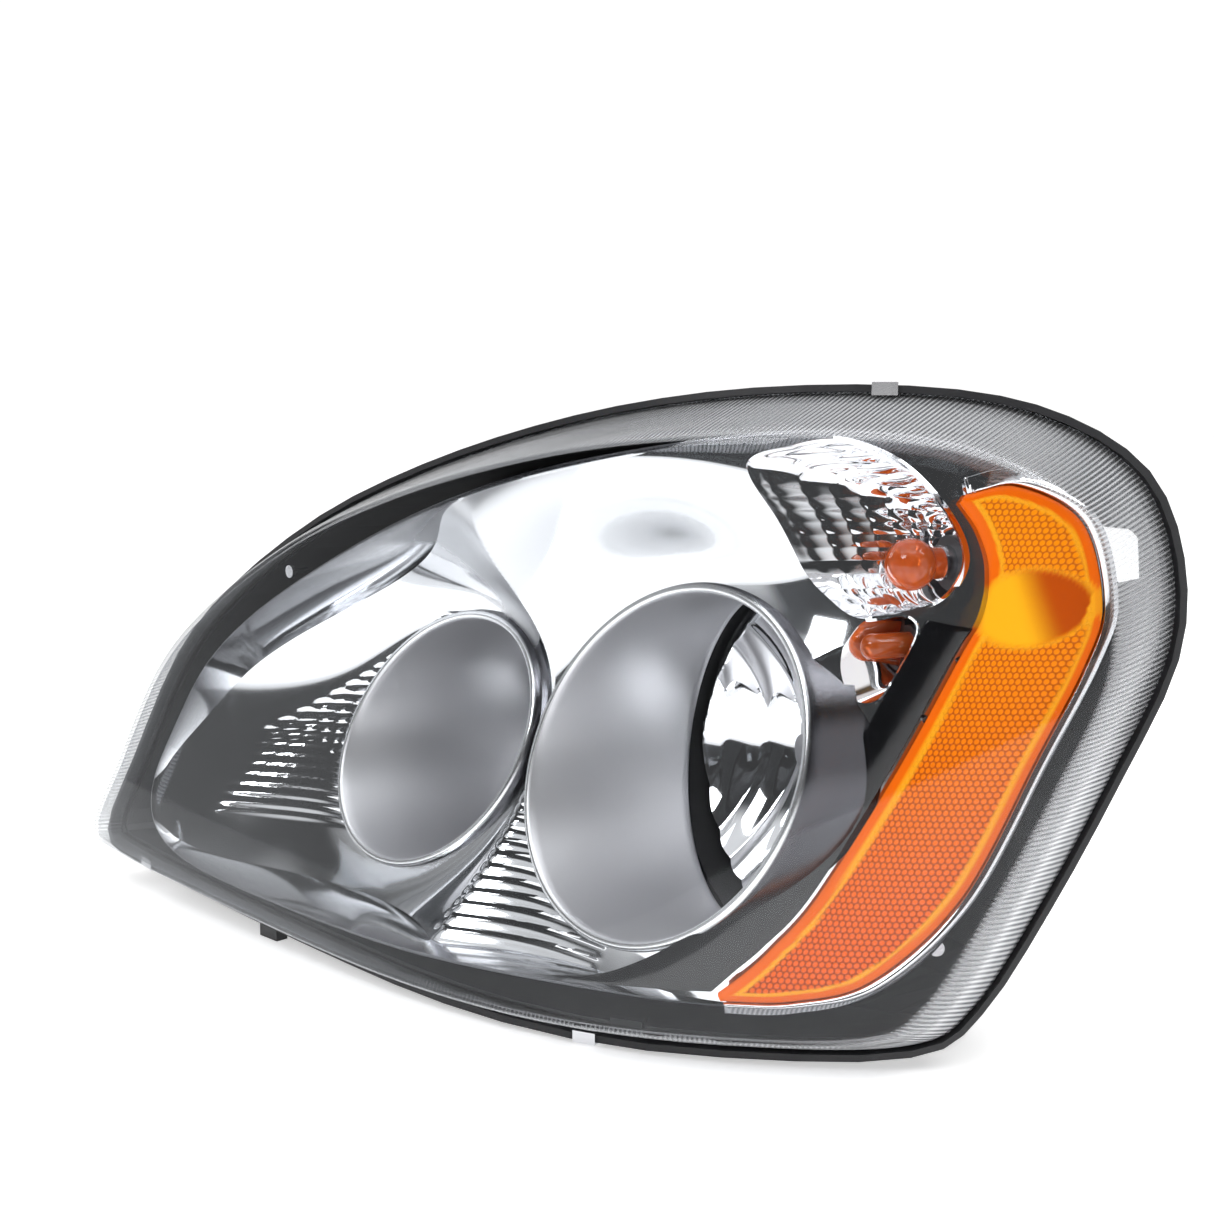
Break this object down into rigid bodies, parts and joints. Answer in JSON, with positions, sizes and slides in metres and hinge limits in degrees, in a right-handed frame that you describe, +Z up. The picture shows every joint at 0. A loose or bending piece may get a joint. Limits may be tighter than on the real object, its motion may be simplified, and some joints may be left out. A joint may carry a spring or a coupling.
{
  "type": "vehicle headlight assembly",
  "caption": "Swept wrap-round headlight with round low and high beams, turn signal, marker bulb and amber side reflector behind a clear lens.",
  "frame": {"origin": "middle of the bounding box in plan, at the underside of the rest feet", "axes": "+X outboard along the length of the lamp, -Y forward, the way the beams shine, +Z up"},
  "size_m": [0.5546, 0.5071, 0.3456],
  "materials": {
    "clear_lens": "clear gloss, hard-coated polycarbonate",
    "rubber_seal": "matt black rubber",
    "spring_steel": "zinc-plated steel",
    "black_housing": "satin black moulded plastic",
    "brass_insert": "turned brass",
    "chrome_bezel": "vacuum-metallised gloss",
    "satin_barrel": "satin silver",
    "mirror_reflector": "vacuum-metallised mirror",
    "grey_plastic": "moulded plastic",
    "bulb_glass": "clear glass",
    "bulb_base": "moulded bulb base",
    "amber_glass": "amber-tinted glass",
    "red_silicone": "silicone gasket",
    "amber_plastic": "transparent amber, prismatic",
    "dark_peg": "dark heat-stake heads",
    "gloss_black": "gloss black",
    "white_nylon": "natural nylon",
    "contact_brass": "bright contact blades"
  },
  "bodies": {
    "shell": {"outer_lens": "clear_lens", "lens_seal": "rubber_seal", "lens_clips": "spring_steel", "housing": "black_housing", "cap_collars": "black_housing", "mounting_ears": "black_housing", "mount_inserts": "brass_insert", "rest_feet": "black_housing", "bezel": "chrome_bezel", "bezel_screws": "spring_steel", "low_beam_barrel": "satin_barrel", "high_beam_barrel": "satin_barrel", "turn_reflector": "mirror_reflector", "marker_reflector": "mirror_reflector", "amber_reflector": "amber_plastic", "reflector_pegs": "dark_peg", "black_trim": "gloss_black", "chrome_trim": "chrome_bezel", "pivot_studs": "spring_steel", "adjuster_bushing": "white_nylon", "vent_caps": "rubber_seal", "connector_inlet": "grey_plastic", "connector_pins": "contact_brass"},
    "aim_carrier": {"reflector_carrier": "grey_plastic", "low_beam_reflector": "mirror_reflector", "high_beam_reflector": "mirror_reflector", "low_bulb_shield": "satin_barrel", "high_bulb_shield": "satin_barrel"},
    "low_bulb": {"low_bulb_glass": "bulb_glass", "low_bulb_base": "bulb_base"},
    "high_bulb": {"high_bulb_glass": "bulb_glass", "high_bulb_base": "bulb_base"},
    "aim_rod": {"adjuster_rod": "spring_steel"},
    "aim_knob": {"adjuster_knob": "white_nylon"},
    "low_rear_cap": {"low_cap": "black_housing", "low_cap_seal": "rubber_seal"},
    "high_rear_cap": {"high_cap": "black_housing", "high_cap_seal": "rubber_seal"},
    "turn_holder": {"turn_socket": "grey_plastic", "turn_socket_seal": "red_silicone", "turn_bulb_glass": "amber_glass", "turn_bulb_base": "spring_steel"},
    "marker_holder": {"marker_socket": "grey_plastic", "marker_socket_seal": "red_silicone", "marker_bulb_glass": "amber_glass"}
  },
  "joints": [
    {"name": "beam_aim", "type": "hinge", "parent": "shell", "child": "aim_carrier", "pos_m": [0, 0.129, 0.142], "axis": [1, 0, 0], "range_deg": [-2, 2]},
    {"name": "adjuster_slide", "type": "slide", "parent": "shell", "child": "aim_rod", "axis": [0, 1, 0], "range_m": [-0.0029, 0.0029]},
    {"name": "adjuster_turn", "type": "hinge", "parent": "shell", "child": "aim_knob", "pos_m": [0.019, 0.195, 0.062], "axis": [0, 1, 0], "range_deg": [-680, 680]},
    {"name": "low_bulb_twist", "type": "hinge", "parent": "aim_carrier", "child": "low_bulb", "pos_m": [0.117, 0.16653, 0.142], "axis": [0, 1, 0], "range_deg": [0, 30]},
    {"name": "high_bulb_twist", "type": "hinge", "parent": "aim_carrier", "child": "high_bulb", "pos_m": [-0.063, 0.10329, 0.126], "axis": [0, 1, 0], "range_deg": [0, 30]},
    {"name": "low_cap_twist", "type": "hinge", "parent": "shell", "child": "low_rear_cap", "pos_m": [0.117, 0.198, 0.142], "axis": [0, 1, 0], "range_deg": [0, 25]},
    {"name": "high_cap_twist", "type": "hinge", "parent": "shell", "child": "high_rear_cap", "pos_m": [-0.063, 0.198, 0.126], "axis": [0, 1, 0], "range_deg": [0, 25]},
    {"name": "turn_socket_twist", "type": "hinge", "parent": "shell", "child": "turn_holder", "pos_m": [0.201, 0.198, 0.255], "axis": [0, 1, 0], "range_deg": [0, 30]},
    {"name": "marker_socket_twist", "type": "hinge", "parent": "shell", "child": "marker_holder", "pos_m": [0.199, 0.198, 0.214], "axis": [0, 1, 0], "range_deg": [0, 30]}
  ],
  "couplings": [
    {"joint": "adjuster_slide", "follows": "beam_aim", "m_per_rad": 0.08},
    {"joint": "adjuster_turn", "follows": "beam_aim", "ratio": 335.1}
  ]
}
